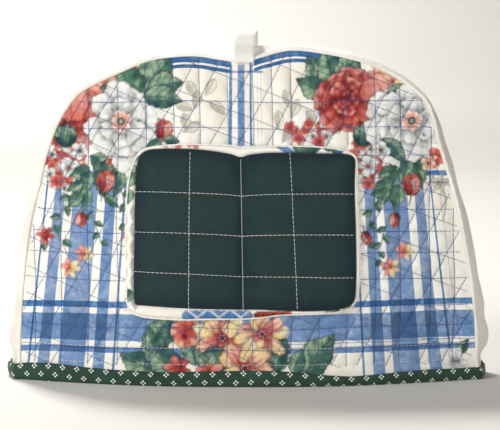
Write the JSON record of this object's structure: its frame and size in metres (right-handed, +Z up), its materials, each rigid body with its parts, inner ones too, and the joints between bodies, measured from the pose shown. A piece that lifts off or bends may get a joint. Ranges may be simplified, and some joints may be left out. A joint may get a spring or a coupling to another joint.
{
  "type": "quilted tea cosy",
  "caption": "Quilted cotton tea cosy: a domed cover that stands open on its bound hem, with a padded patch on the front and a tape loop on top.",
  "frame": {"origin": "middle of the cosy's footprint, on the surface that its hem rests on", "axes": "+Z up, the front with the patch faces -Y, +X to the right along the cosy's width"},
  "size_m": [0.3438, 0.111, 0.247],
  "materials": {
    "printed_cotton": "matt quilted cotton, cream with a blue plaid and flowers",
    "white_cotton": "matt plain cotton",
    "green_dotted_cotton": "matt cotton, dark green with small white dots",
    "dark_green_cotton": "matt quilted cotton, dark green, stitched in white"
  },
  "bodies": {
    "root": {"front_panel": "printed_cotton", "back_panel": "printed_cotton", "side_strip": "white_cotton", "hem_binding": "green_dotted_cotton", "patch": "dark_green_cotton", "patch_binding": "printed_cotton", "hanging_loop": "white_cotton"}
  },
  "joints": []
}
